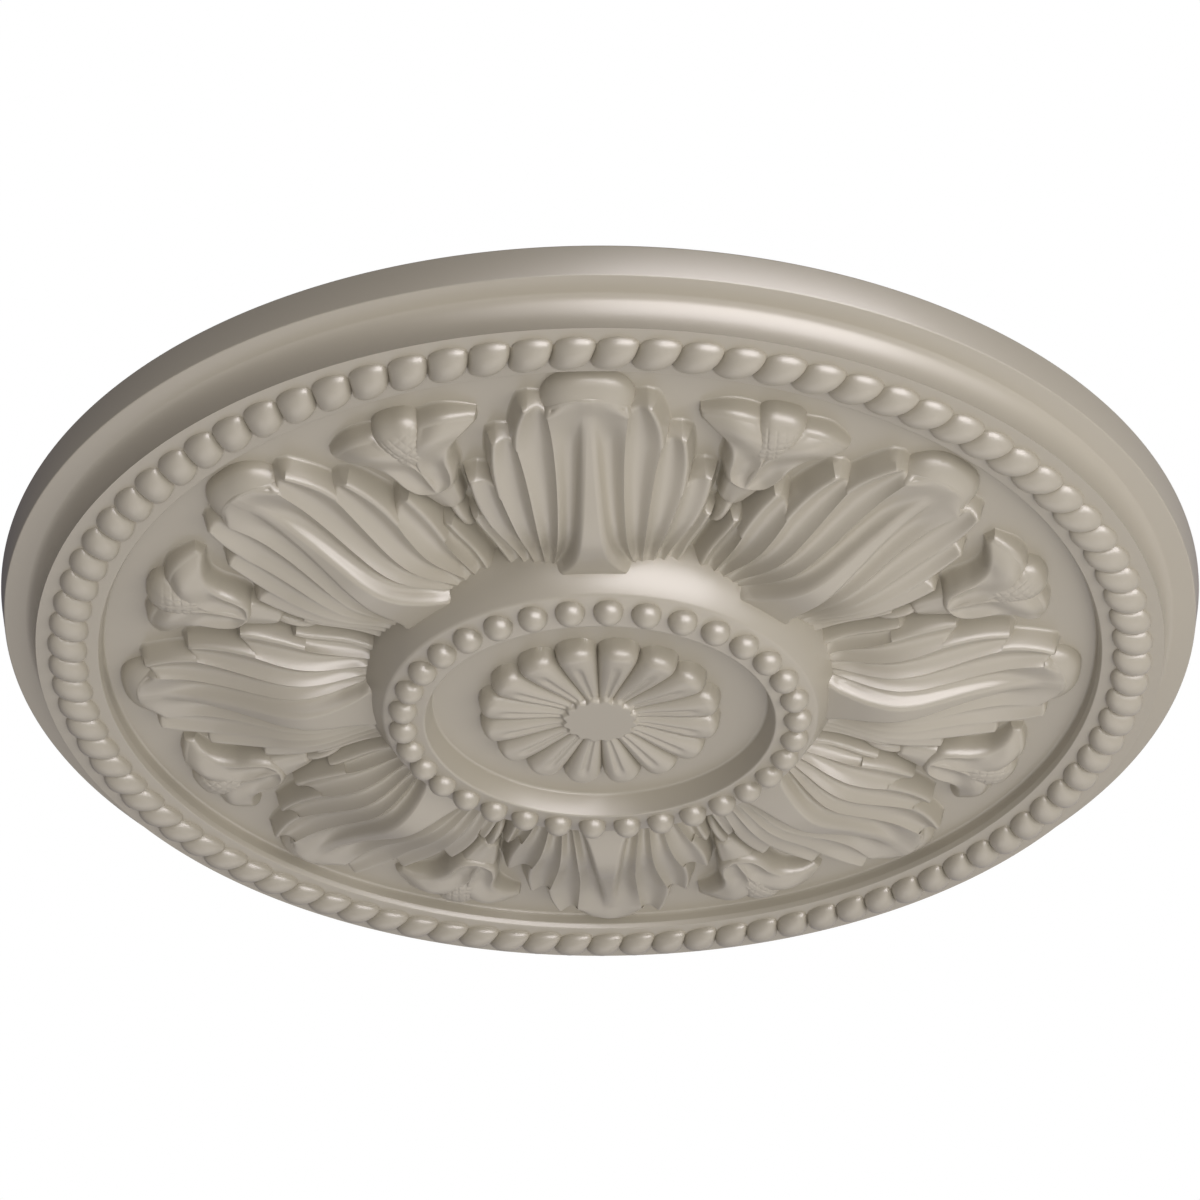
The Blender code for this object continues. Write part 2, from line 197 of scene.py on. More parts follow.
def turned_body():
    """Plate, rim, cove, platform, field, drum and dish, turned from the one profile."""
    mesh = bpy.data.meshes.new("plate_and_drum")
    points = [(radius * R, 0, -depth * R) for radius, depth in body_profile()]
    mesh.from_pydata(points, [(i, i + 1) for i in range(len(points) - 1)], [])
    maker = bpy.data.objects.new("maker", mesh)
    bpy.context.scene.collection.objects.link(maker)
    screw = maker.modifiers.new("turn", "SCREW")
    screw.axis = "Z"
    screw.steps = TURN_STEPS
    screw.render_steps = TURN_STEPS
    screw.use_merge_vertices = True
    screw.merge_threshold = NEAR
    graph = bpy.context.evaluated_depsgraph_get()
    builder = bmesh.new()
    builder.from_mesh(maker.evaluated_get(graph).to_mesh())
    bmesh.ops.recalc_face_normals(builder, faces=builder.faces)
    bpy.data.objects.remove(maker)
    add_piece("plate_and_drum", builder, SHARP_BODY)


def quad_grid(builder, rows, closed_rows=False, closed_columns=False):
    """Joins rows of vertices with quads; repeated vertices collapse to triangles."""
    row_pairs = list(zip(rows, rows[1:])) + ([(rows[-1], rows[0])] if closed_rows else [])
    for here, there in row_pairs:
        count = len(here)
        for i in range(count if closed_columns else count - 1):
            j = (i + 1) % count
            corners = []
            for vert in (here[i], here[j], there[j], there[i]):
                if vert not in corners:
                    corners.append(vert)
            if len(corners) > 2 and builder.faces.get(corners) is None:
                builder.faces.new(corners)


# Rope
def rope():
    """Rope of slanted beads, each rounded end lapping over the next bead, on a hidden flat foot."""
    builder = bmesh.new()
    base = (PLATFORM_OUTER[1] + PLATFORM_INNER[1]) / 2
    rows = []
    for section in range(BEADS * BEAD_SECTIONS):
        phase = 2 * (section / BEAD_SECTIONS % 1) - 1
        swell = (1 - phase ** 2) ** 0.5
        height = ROPE_RISE * lerp(BEAD_GAP_HEIGHT, 1.0, swell)
        half = ROPE_HALF * lerp(BEAD_GAP_WIDTH, 1.0, swell)
        angle = BEAD_FIRST + 2 * pi * (section / BEAD_SECTIONS + 0.5) / BEADS
        row = []
        for step in range(ROPE_STEPS + 1):
            turn = pi * step / ROPE_STEPS
            offset = half * cos(turn)
            row.append((angle + rope_lean(offset), offset, base + height * sin(turn) ** BEAD_CROWN))
        row += [(angle + rope_lean(offset), offset, base - ROPE_FOOT) for offset in (-half, half)]
        rows.append([builder.verts.new(local_frame(way) @ Vector((0, ROPE_RADIUS + offset, depth)) * R)
                     for way, offset, depth in row])
    quad_grid(builder, rows, closed_rows=True, closed_columns=True)
    bmesh.ops.recalc_face_normals(builder, faces=builder.faces)
    add_piece("rope_border", builder, SHARP_BEADS)


def rope_lean(offset):
    """Angle by which a bead's cross-section is turned at a given distance from the rope's middle line."""
    return tan(ROPE_SLANT) * offset / ROPE_RADIUS + ROPE_LAP * (1 - (offset / ROPE_HALF) ** 2)


# Pearls
def pearls():
    """Ring of round pearls set into the drum's sloping top."""
    builder = bmesh.new()
    slope = (RING_INNER[1] - DRUM_EDGE[1]) / (DRUM_EDGE[0] - RING_INNER[0])
    base = DRUM_EDGE[1] + slope * (DRUM_EDGE[0] - PEARL_RING)
    for pearl in range(PEARLS):
        angle = PEARL_FIRST + 2 * pi * (pearl + 0.5) / PEARLS
        place = local_frame(angle) @ Vector((0, PEARL_RING, base + PEARL_LIFT))
        bmesh.ops.create_uvsphere(builder, u_segments=PEARL_SEGMENTS, v_segments=PEARL_RINGS,
                                  radius=PEARL_SIZE * R, matrix=Matrix.Translation(place * R))
    add_piece("pearl_ring", builder, SHARP_BEADS)


# Raised ornament: a top surface given as rows of points, with walls all round down to a sunk foot.
# Points are (across, outward, depth) in shares of the outer radius; walls are (distance out, share of height)
SUNK = 0.004
FOOT = FIELD - SUNK
CRISP_WALL = [(0.0018, 0.99), (0.0036, 0.955), (0.0052, 0.89), (0.0068, 0.78), (0.0090, 0.62), (0.0114, 0.42),
              (0.0132, 0.26), (0.0142, 0.185), (0.0156, 0.13), (0.0174, 0.095), (0.0198, 0.078)]
ROUND_WALL = [(0.0022, 0.985), (0.0048, 0.93), (0.0072, 0.84), (0.0092, 0.71), (0.0108, 0.54), (0.0119, 0.34),
              (0.0123, 0.25), (0.0130, 0.185), (0.0142, 0.13), (0.0158, 0.095), (0.0180, 0.078)]


def wall_directions(ring):
    """Unit directions out of a closed outline, one for each point."""
    count = len(ring)
    area = sum(a[0] * b[1] - b[0] * a[1] for a, b in zip(ring, ring[1:] + ring[:1]))
    hand = 1 if area > 0 else -1
    ways = []
    for i in range(count):
        a, b = ring[i - 1], ring[(i + 1) % count]
        size = max(hypot(b[0] - a[0], b[1] - a[1]), NEAR)
        ways.append((hand * (b[1] - a[1]) / size, -hand * (b[0] - a[0]) / size))
    return ways


def vertex_maker(builder, matrix):
    """Gives a function that makes the vertex at a point, or finds it if it was made before."""
    known = {}

    def vert(x, y, z):
        key = (round(x, NEAR_DIGITS), round(y, NEAR_DIGITS), round(z, NEAR_DIGITS))
        if key not in known:
            known[key] = builder.verts.new(matrix @ Vector((x, y, z)) * R)
        return known[key]

    return vert


def add_shell(builder, matrix, grids, ring, wall):
    """Adds top surfaces, the wall round their shared outline and the hidden foot as one closed shell."""
    vert = vertex_maker(builder, matrix)
    for rows in grids:
        quad_grid(builder, [[vert(*point) for point in row] for row in rows])
    clean = [p for p, q in zip(ring, ring[1:] + ring[:1]) if hypot(p[0] - q[0], p[1] - q[1]) > NEAR]
    ways = wall_directions(clean)
    columns = []
    for (x, y, z), (across, outward) in zip(clean, ways):
        column = [vert(x, y, z)]
        column += [vert(x + across * out, y + outward * out, lerp(FOOT, z, level)) for out, level in wall]
        column.append(vert(x + across * wall[-1][0], y + outward * wall[-1][0], FOOT))
        columns.append(column)
    quad_grid(builder, columns, closed_rows=True)
    builder.faces.new([column[-1] for column in columns])


def outline(rows):
    """Outline of one rectangular patch of points."""
    return (rows[0][:-1] + [row[-1] for row in rows[:-1]] + rows[-1][:0:-1]
            + [row[0] for row in rows[:0:-1]])


def dome_level(x, y, powers):
    """Height of a dome of radius and height 1 over a place, 0 outside it."""
    reach = (abs(x) ** powers[0] + abs(y) ** powers[0]) ** (1 / powers[0])
    return max(0.0, 1 - reach ** powers[1]) ** (1 / powers[1])


def add_dome(builder, matrix, centre, radii, powers, steps, surface=None, cut=None):
    """Adds a rounded block: an oval dome whose powers above 2 make it squarer.

    A cut gives, for each place across, how near to the rose's centre the dome may reach.
    """
    def signed_power(value, power):
        return abs(value) ** (2 / power) * (1 if value >= 0 else -1)

    rows = []
    for j in range(steps[1] + 1):
        rise = lerp(-pi / 2, pi / 2, j / steps[1])
        row = []
        for i in range(steps[0]):
            turn = 2 * pi * i / steps[0]
            girth = signed_power(cos(rise), powers[1])
            x = centre[0] + radii[0] * girth * signed_power(cos(turn), powers[0])
            y = centre[1] + radii[1] * girth * signed_power(sin(turn), powers[0])
            z = centre[2] + radii[2] * signed_power(sin(rise), powers[1])
            if cut and y < cut(x):
                y = cut(x)
                level = dome_level((x - centre[0]) / radii[0], (y - centre[1]) / radii[1], powers)
                z = min(z, centre[2] + radii[2] * level)
            z += surface(x, y) if surface and rise > 0 else 0.0
            row.append((x, y, z))
        rows.append([row[0]] * len(row) if j in (0, steps[1]) else row)
    vert = vertex_maker(builder, matrix)
    quad_grid(builder, [[vert(*point) for point in row] for row in rows], closed_columns=True)


# Leaf: where it starts and how long it is, in shares of the outer radius
LEAF_START = 0.375
LEAF_LENGTH = 0.430
# Curves of the ridges between lobes, from the drum to the notch, and the lobes' tips.
# Places are (across, along) and heights are above the field, both in shares of the leaf's length
RIDGES = [
    ((0.150, 0.00), (0.092, 0.40), (0.138, 0.832)),
    ((0.178, 0.00), (0.182, 0.33), (0.251, 0.663)),
    ((0.215, -0.01), (0.245, 0.20), (0.319, 0.430)),
    ((0.250, -0.02), (0.275, 0.08), (0.353, 0.240)),
    ((0.285, -0.05), (0.352, 0.09), (0.414, 0.267)),
]
TIPS = [(0.214, 0.864), (0.329, 0.683), (0.418, 0.476), (0.414, 0.267)]
SHARED_ROWS = [62, 48, 34, 22, 0]
FREE_ROWS = [10, 14, 14, 12, 22]
LOBE_COLUMNS = [26, 16, 16, 14, 12]
ROW_PACKING = 1.25
LOBE_BULGE = 0.022
LOBE_BOW = 0.010
LOBE_BOW_SPAN = (0.6, 1.0)
# Swell of the whole leaf along its midrib, and the half widths over which it falls to the edge's height
CRESTS = [(-0.10, 0.090), (0.0, 0.117), (0.10, 0.154), (0.18, 0.181), (0.27, 0.196), (0.36, 0.186),
          (0.46, 0.157), (0.58, 0.121), (0.71, 0.095), (0.82, 0.095), (0.925, 0.106)]
HALF_WIDTHS = [(0.0, 0.30), (0.25, 0.42), (0.48, 0.445), (0.69, 0.36), (0.87, 0.25), (0.96, 0.20)]
LEAN_LIMIT = 1.15
EDGE_HEIGHT = 0.084
# Flutes between the ridges; spans are shares of the way from the drum to the lobe's end
FLUTE_DEPTH = 0.029
FLUTE_SKEW = 0.82
FLUTE_ROUNDNESS = 1.2
FLUTE_SPAN = (-0.02, 0.28)
CHANNEL_SPAN = (-0.02, 0.23)
# Midrib: half widths and rise along the leaf, its steep side, and the share of the columns that each takes
RIB_HALVES = [(0.0, 0.123), (0.005, 0.131), (0.022, 0.127), (0.055, 0.106), (0.15, 0.075), (0.29, 0.052),
              (0.52, 0.034), (0.74, 0.022), (0.90, 0.012)]
RIB_RISE = [(0.0, 0.034), (0.15, 0.030), (0.5, 0.018), (0.75, 0.008), (0.87, 0.0)]
RIB_WALL = 0.036
RIB_INSIDE = 0.55
RIB_OUTSIDE = 0.75
RIB_LEAST = 0.35
RIB_COLUMNS = 0.25
WALL_COLUMNS = 0.35
# Dished end of the middle lobe, where its arched edge lies, and how its corners fall
SPOON_SPAN = (0.62, 0.86)
SPOON_CALM = 0.9
SPOON_DIP = 0.014
SPOON_ROUNDNESS = 1.5
SPOON_END = (0.124, 0.925)
END_CURVE = 0.024
CORNER_DROP = 0.022
# Rounded tip beyond it, in shares of the outer radius
ROLL_CENTRE = 0.7245
ROLL_RADII = (0.0735, 0.0805, 0.0459)
ROLL_POWERS = (2.6, 2.15)
ROLL_STEPS = (96, 48)
ROLL_OVERLAP = 0.002


def leaf_point(across, along, height):
    """Carries a point in shares of the leaf's length to shares of the outer radius."""
    return (across * LEAF_LENGTH, LEAF_START + along * LEAF_LENGTH, FIELD + height * LEAF_LENGTH)


def leaf_crest(across, along):
    """Height of the leaf's general swell above the field, before flutes and rib."""
    crest = between(CRESTS, along)
    lean = min(LEAN_LIMIT, abs(across) / between(HALF_WIDTHS, along))
    return EDGE_HEIGHT + (crest - EDGE_HEIGHT) * (1 - lean * lean)


def flute(share, fade):
    """Depth of a flute at a share of its width: steep towards the midrib, gentle on the other side."""
    place = min(1.0, max(0.0, share)) ** FLUTE_SKEW
    return FLUTE_DEPTH * fade * sin(pi * place) ** FLUTE_ROUNDNESS


def ridge_line(number):
    """Points of one ridge from the drum to its notch."""
    count = SHARED_ROWS[number]
    return [bezier(*RIDGES[number], (i / count) ** ROW_PACKING) for i in range(count + 1)]


def outer_side(number):
    """Outer boundary of a side lobe: the ridge it shares with its neighbour, then its free side."""
    count = FREE_ROWS[number]
    if number == len(RIDGES) - 1:
        return [bezier(*RIDGES[number], i / count) for i in range(count + 1)]
    notch = RIDGES[number][2]
    tip = TIPS[number - 1]
    bulge = ((notch[0] + tip[0]) / 2 + LOBE_BULGE, (notch[1] + tip[1]) / 2)
    return ridge_line(number) + [bezier(notch, bulge, tip, i / count) for i in range(1, count + 1)]


def lobe_surface(number):
    """Rows of points over one side lobe, from the drum to its cut end."""
    inner = ridge_line(number - 1)
    outer = outer_side(number)
    columns = LOBE_COLUMNS[number]
    rows = []
    for i, (a, b) in enumerate(zip(inner, outer)):
        v = i / (len(inner) - 1)
        fade = ramp(v, *FLUTE_SPAN)
        bow = LOBE_BOW * ramp(v, *LOBE_BOW_SPAN)
        row = []
        for j in range(columns + 1):
            u = j / columns
            along = lerp(a[1], b[1], u) + bow * sin(pi * u)
            height = lerp(leaf_crest(*a), leaf_crest(*b), u) - flute(u, fade)
            row.append(leaf_point(lerp(a[0], b[0], u), along, height))
        rows.append(row)
    return rows


def spoon_side():
    """Side of the middle lobe from its notch to the corner of its arched end, where the roll starts."""
    notch = RIDGES[0][2]
    count = FREE_ROWS[0]
    return [(lerp(notch[0], SPOON_END[0], i / count), lerp(notch[1], SPOON_END[1], i / count))
            for i in range(1, count + 1)]


def middle_surface():
    """Right half of the middle lobe: half the midrib, its steep side and the channel to the first ridge."""
    edge = ridge_line(0) + spoon_side()
    columns = LOBE_COLUMNS[0]
    rows = []
    for i, (limit, along) in enumerate(edge):
        end = ramp(along, *SPOON_SPAN)
        fade = ramp(i / (len(edge) - 1), *CHANNEL_SPAN) * (1 - SPOON_CALM * end)
        free = max(0.0, (i - SHARED_ROWS[0]) / FREE_ROWS[0])
        rib = between(RIB_HALVES, along)
        rise = between(RIB_RISE, along)
        inner = max(rib - RIB_INSIDE * RIB_WALL, RIB_LEAST * rib)
        outer = rib + RIB_OUTSIDE * RIB_WALL
        row = []
        for j in range(columns + 1):
            u = j / columns
            if u <= RIB_COLUMNS:
                across = inner * u / RIB_COLUMNS
            elif u <= RIB_COLUMNS + WALL_COLUMNS:
                across = lerp(inner, outer, (u - RIB_COLUMNS) / WALL_COLUMNS)
            else:
                past = u - RIB_COLUMNS - WALL_COLUMNS
                across = lerp(outer, limit, past / (1 - RIB_COLUMNS - WALL_COLUMNS))
            share = (across - rib) / max(limit - rib, NEAR)
            dish = SPOON_DIP * end * max(0.0, 1 - (across / limit) ** 2) ** SPOON_ROUNDNESS
            channel = leaf_crest(across, along) - flute(share, fade) - dish
            crown = leaf_crest(0, along) + rise - dish
            side = ramp(rib - across, -RIB_WALL / 2, RIB_WALL / 2)
            drop = CORNER_DROP * (across / limit) ** 2 * free ** 2
            x, y, z = leaf_point(across, along, lerp(channel, crown, side) - drop)
            row.append((x, y - END_CURVE * abs(across / limit) ** 3 * free, z))
        rows.append(row)
    return rows


def spoon_end(x):
    """Distance from the rose's centre of the line along which the roll meets the spoon."""
    middle = LEAF_START + SPOON_END[1] * LEAF_LENGTH - ROLL_OVERLAP
    return middle - END_CURVE * abs(x / (SPOON_END[0] * LEAF_LENGTH)) ** 3


def build_leaf(name, angle):
    """One acanthus leaf: both halves under one wall, and the rounded tip beyond its dished end lobe."""
    grids = []
    halves = []
    for hand in (1, -1):
        edge = []
        base = []
        for number in reversed(range(len(RIDGES))):
            rows = lobe_surface(number) if number else middle_surface()
            rows = [[(hand * x, y, z) for x, y, z in row] for row in rows]
            grids.append(rows)
            base += rows[0][::-1]
            edge += [row[-1] for row in rows[SHARED_ROWS[number]:]]
            edge += rows[-1][-2::-1]
        halves.append((edge, base))
    (right, right_base), (left, left_base) = halves
    ring = right + left[::-1] + left_base + right_base[::-1]
    builder = bmesh.new()
    matrix = local_frame(angle)
    add_shell(builder, matrix, grids, ring, CRISP_WALL)
    add_dome(builder, matrix, (0, ROLL_CENTRE, FIELD), ROLL_RADII, ROLL_POWERS, ROLL_STEPS, cut=spoon_end)
    bmesh.ops.recalc_face_normals(builder, faces=builder.faces)
    add_piece(name, builder, SHARP_CARVING)


# Bell flower between two leaves: across and outward from the centre, in shares of the outer radius.
# Spans are shares of the way along the petal
PETAL_INNER = [(0.0, 0.612), (0.0, 0.630), (0.0, 0.655), (0.004, 0.682), (0.014, 0.708), (0.028, 0.730),
               (0.042, 0.748)]
PETAL_OUTER = [(0.006, 0.612), (0.026, 0.621), (0.037, 0.643), (0.044, 0.674), (0.060, 0.700), (0.087, 0.716),
               (0.114, 0.724)]
PETAL_HEIGHTS = (0.045, 0.046)
PETAL_BOW = 0.011
PETAL_BOW_SPAN = (0.5, 1.0)
PETAL_TROUGH = 0.008
PETAL_TROUGH_SPANS = ((0.0, 0.25), (0.40, 0.75))
PETAL_SWELL = 0.006
PETAL_SWELL_SPAN = (0.40, 0.80)
PETAL_SLOPE = 0.012
PETAL_SLOPE_SPAN = (0.3, 1.0)
PETAL_CURL = 0.014
PETAL_CURL_SPAN = (0.75, 1.0)
PETAL_ROWS = 42
PETAL_COLUMNS = 16
BUD_CENTRE = 0.713
BUD_RADII = (0.045, 0.064, 0.049)
BUD_POWERS = (2.9, 2.3)
BUD_STEPS = (140, 70)
BUD_TILT = 0.06
BUD_LEVEL = 0.72
GROOVE_WAYS = (0.35, -1.25)
GROOVE_PITCH = 0.0135
GROOVE_DEPTH = 0.0014
GROOVE_HALF = 0.16
GROOVE_END_SPAN = (0.745, 0.765)
CUP_HALF_WIDTHS = (0.010, 0.024)
CUP_REACH = (0.560, 0.616)
CUP_HEIGHTS = (0.030, 0.036)
CUP_CROWN = 0.004
CUP_FLARE = 0.8
CUP_STEPS = 12
STEM_CENTRE = 0.530
STEM_RADII = (0.013, 0.050, 0.034)
STEM_POWERS = (2.5, 2.0)
STEM_STEPS = (28, 16)


def along_edge(points, share):
    """Point at a share of the way along an edge given by evenly counted points."""
    steps = len(points) - 1
    across = between([(k / steps, point[0]) for k, point in enumerate(points)], share)
    outward = between([(k / steps, point[1]) for k, point in enumerate(points)], share)
    return across, outward


def petal_surface(hand):
    """Top of one outer petal: troughed low down, swelling and rolled over at its broad cut end."""
    rows = []
    for i in range(PETAL_ROWS + 1):
        v = i / PETAL_ROWS
        a = along_edge(PETAL_INNER, v)
        b = along_edge(PETAL_OUTER, v)
        bow = PETAL_BOW * ramp(v, *PETAL_BOW_SPAN)
        trough = PETAL_TROUGH * ramp(v, *PETAL_TROUGH_SPANS[0]) * (1 - ramp(v, *PETAL_TROUGH_SPANS[1]))
        swell = PETAL_SWELL * ramp(v, *PETAL_SWELL_SPAN)
        slope = PETAL_SLOPE * ramp(v, *PETAL_SLOPE_SPAN)
        curl = PETAL_CURL * ramp(v, *PETAL_CURL_SPAN) ** 2
        row = []
        for j in range(PETAL_COLUMNS + 1):
            u = j / PETAL_COLUMNS
            height = lerp(*PETAL_HEIGHTS, v) + (swell - trough) * sin(pi * u) - slope * u - curl
            outward = lerp(a[1], b[1], u) + bow * sin(pi * u)
            row.append((hand * lerp(a[0], b[0], u), outward, FIELD + height))
        rows.append(row)
    return rows


def bud_surface(x, y):
    """Rise of the bud towards its end, with fine crossed grooves that fade before the end."""
    lines = 0.0
    for way in GROOVE_WAYS:
        place = (x * cos(way) + y * sin(way)) / GROOVE_PITCH % 1
        lines = max(lines, 1 - min(1.0, abs(place - 0.5) / GROOVE_HALF))
    fade = 1 - ramp(y, *GROOVE_END_SPAN)
    return BUD_TILT * (y - BUD_LEVEL) - GROOVE_DEPTH * lines * fade


def cup_surface():
    """Top of the small cup that holds the petals, widening outward and crowned across."""
    rows = []
    for i in range(CUP_STEPS + 1):
        v = i / CUP_STEPS
        half = lerp(*CUP_HALF_WIDTHS, v ** CUP_FLARE)
        height = FIELD + lerp(*CUP_HEIGHTS, v)
        rows.append([(half * lerp(-1, 1, j / CUP_STEPS), lerp(*CUP_REACH, v),
                      height + CUP_CROWN * sin(pi * j / CUP_STEPS)) for j in range(CUP_STEPS + 1)])
    return rows


def build_flower(name, angle):
    """One bell flower: two outer petals, the bud between them, a small cup and the stem."""
    builder = bmesh.new()
    matrix = local_frame(angle)
    for rows in (petal_surface(1), petal_surface(-1), cup_surface()):
        add_shell(builder, matrix, [rows], outline(rows), ROUND_WALL)
    add_dome(builder, matrix, (0, BUD_CENTRE, FIELD), BUD_RADII, BUD_POWERS, BUD_STEPS, bud_surface)
    add_dome(builder, matrix, (0, STEM_CENTRE, FIELD), STEM_RADII, STEM_POWERS, STEM_STEPS)
    bmesh.ops.recalc_face_normals(builder, faces=builder.faces)
    add_piece(name, builder, SHARP_CARVING)


# Rosette in the dish: radii and depths in shares of the outer radius
ROSETTE_PETALS = 16
ROSETTE_START = 0.1580
ROSETTE_TOP = 0.1675
ROSETTE_RISE_SPAN = (0.06, 0.17)
ROSETTE_REACH = 0.204
ROSETTE_SCALLOP = 0.030
SCALLOP_POWER = 2.2
HUB_RADIUS = 0.058
HUB_DEPTH = 0.1635
HUB_WAVE = 0.003
HUB_STEP = 0.006
ARCH_SHARES = (0.62, 0.80)
ARCH_EDGE = 0.98
ARCH_POWER = 2.4
LINE_DEPTH = 0.0010
LINE_SHARE = 0.10
LINE_HALF = 0.30
LINE_ROUNDNESS = 1.5
LINE_END_SPAN = (0.145, 0.175)
NOSE = 0.021
NOSE_POWERS = (2.4, 0.42)
HUB_RINGS = (0.25, 0.5, 0.75, 0.93)
PETAL_FIRST_RING = 0.945
ROSETTE_RINGS = 72
ROSETTE_COLUMNS = 26


def rosette_height(radius, u):
    """Depth of the rosette at a radius and a place u from -1 to 1 across one petal."""
    half = radius * tan(pi / ROSETTE_PETALS)
    side = min(1.0, abs(u))
    reach = ROSETTE_REACH - ROSETTE_SCALLOP * (1 - (1 - side ** SCALLOP_POWER) ** 0.5)
    inner = HUB_RADIUS + HUB_WAVE * cos(pi * side)
    start = ramp(radius, inner, inner + HUB_STEP)
    outer = ramp(radius, *ROSETTE_RISE_SPAN)
    top = lerp(ROSETTE_START, ROSETTE_TOP, outer)
    arch = half * lerp(*ARCH_SHARES, outer) * (1 - (1 - ARCH_EDGE * side ** ARCH_POWER) ** 0.5)
    line = (LINE_DEPTH + half * LINE_SHARE) * max(0.0, 1 - (side / LINE_HALF) ** 2) ** LINE_ROUNDNESS
    line *= 1 - ramp(radius, *LINE_END_SPAN)
    over = min(1.0, max(0.0, (radius - (reach - NOSE)) / NOSE))
    drop = (top - arch - FLOOR + SUNK) * (1 - (1 - over ** NOSE_POWERS[0]) ** NOSE_POWERS[1])
    return max(FLOOR - SUNK, lerp(HUB_DEPTH, top - arch - line, start) - drop)


def rosette():
    """Rounded petals with a line down each, round a flat hub, closed by a foot below the dish's floor."""
    builder = bmesh.new()
    rows = []
    radii = [HUB_RADIUS * share for share in HUB_RINGS]
    radii += [lerp(PETAL_FIRST_RING * HUB_RADIUS, ROSETTE_REACH, i / ROSETTE_RINGS)
              for i in range(ROSETTE_RINGS + 1)]
    for radius in radii:
        row = []
        for petal in range(ROSETTE_PETALS):
            for column in range(ROSETTE_COLUMNS):
                u = 2 * column / ROSETTE_COLUMNS - 1
                angle = 2 * pi * (petal + 0.5 + u / 2) / ROSETTE_PETALS
                place = local_frame(angle) @ Vector((0, radius, rosette_height(radius, u)))
                row.append(builder.verts.new(place * R))
        rows.append(row)
    quad_grid(builder, rows, closed_columns=True)
    builder.faces.new(rows[0])
    foot = [builder.verts.new((vert.co.x, vert.co.y, -(FLOOR - 2 * SUNK) * R)) for vert in rows[-1]]
    quad_grid(builder, [rows[-1], foot], closed_columns=True)
    builder.faces.new(foot)
    bmesh.ops.recalc_face_normals(builder, faces=builder.faces)
    add_piece("rosette", builder, SHARP_BODY)


def build_all():
    """Makes every piece of the casting; leaf 1 lies along -Y."""
    turned_body()
    rope()
    pearls()
    rosette()
    for number in range(LEAVES):
        build_leaf(f"leaf_{number + 1}", 2 * pi * number / LEAVES)
        build_flower(f"flower_{number + 1}", 2 * pi * (number + 0.5) / LEAVES)


# Paint: two near tones, and scales in repeats a metre
PAINT_DARK = (0.362, 0.332, 0.262, 1)
PAINT_LIGHT = (0.386, 0.354, 0.280, 1)
TONE_PLACES = (0.15, 0.85)
TONE_SCALE = 9.0
TONE_DETAIL = 3.0
PAINT_ROUGHNESS = (0.28, 0.33)
PAINT_INDEX = 1.65
GRAIN_SCALE = 900.0
GRAIN_DETAIL = 2.0
GRAIN_STRENGTH = 0.04
GRAIN_DEPTH = 0.0003


def painted_foam():
    """Satin paint: slow shifts of tone, slight roller texture in bump and roughness."""
    material = bpy.data.materials.new(SLOT)
    material.use_nodes = True
    tree = material.node_tree
    shader = tree.nodes["Principled BSDF"]
    shader.inputs["IOR"].default_value = PAINT_INDEX
    place = tree.nodes.new("ShaderNodeTexCoord")
    broad = tree.nodes.new("ShaderNodeTexNoise")
    broad.inputs["Scale"].default_value = TONE_SCALE
    broad.inputs["Detail"].default_value = TONE_DETAIL
    tree.links.new(place.outputs["Object"], broad.inputs["Vector"])
    tone = tree.nodes.new("ShaderNodeValToRGB")
    tone.color_ramp.interpolation = "B_SPLINE"
    for stop, position, colour in zip(tone.color_ramp.elements, TONE_PLACES, (PAINT_DARK, PAINT_LIGHT)):
        stop.position = position
        stop.color = colour
    tree.links.new(broad.outputs["Fac"], tone.inputs["Fac"])
    tree.links.new(tone.outputs["Color"], shader.inputs["Base Color"])
    fine = tree.nodes.new("ShaderNodeTexNoise")
    fine.inputs["Scale"].default_value = GRAIN_SCALE
    fine.inputs["Detail"].default_value = GRAIN_DETAIL
    tree.links.new(place.outputs["Object"], fine.inputs["Vector"])
    rough = tree.nodes.new("ShaderNodeMapRange")
    rough.inputs["To Min"].default_value = PAINT_ROUGHNESS[0]
    rough.inputs["To Max"].default_value = PAINT_ROUGHNESS[1]
    tree.links.new(broad.outputs["Fac"], rough.inputs["Value"])
    tree.links.new(rough.outputs["Result"], shader.inputs["Roughness"])
    bump = tree.nodes.new("ShaderNodeBump")
    bump.inputs["Strength"].default_value = GRAIN_STRENGTH
    bump.inputs["Distance"].default_value = GRAIN_DEPTH
    tree.links.new(fine.outputs["Fac"], bump.inputs["Height"])
    tree.links.new(bump.outputs["Normal"], shader.inputs["Normal"])
    return material


# Camera at the photograph's angle: distance in outer radii, lens and sensor in millimetres
VIEW_RISE = 0.5978
VIEW_TURN = radians(1.4)
VIEW_DISTANCE = 5.2
VIEW_LENS = 92.28
VIEW_SENSOR = 36.0
VIEW_SHIFT = 0.034
VIEW_NEAREST = 0.01


def camera():
    """Sets the camera below the ceiling, looking up at the middle of the back."""
    data = bpy.data.cameras.new("camera")
    data.lens = VIEW_LENS
    data.sensor_width = VIEW_SENSOR
    data.shift_y = VIEW_SHIFT
    data.clip_start = VIEW_NEAREST
    eye = bpy.data.objects.new("camera", data)
    bpy.context.scene.collection.objects.link(eye)
    flat = cos(VIEW_RISE)
    away = Vector((sin(VIEW_TURN) * flat, -cos(VIEW_TURN) * flat, -sin(VIEW_RISE)))
    eye.location = away * VIEW_DISTANCE * R
    eye.rotation_euler = (-away).to_track_quat("-Z", "Y").to_euler()
    bpy.context.scene.camera = eye


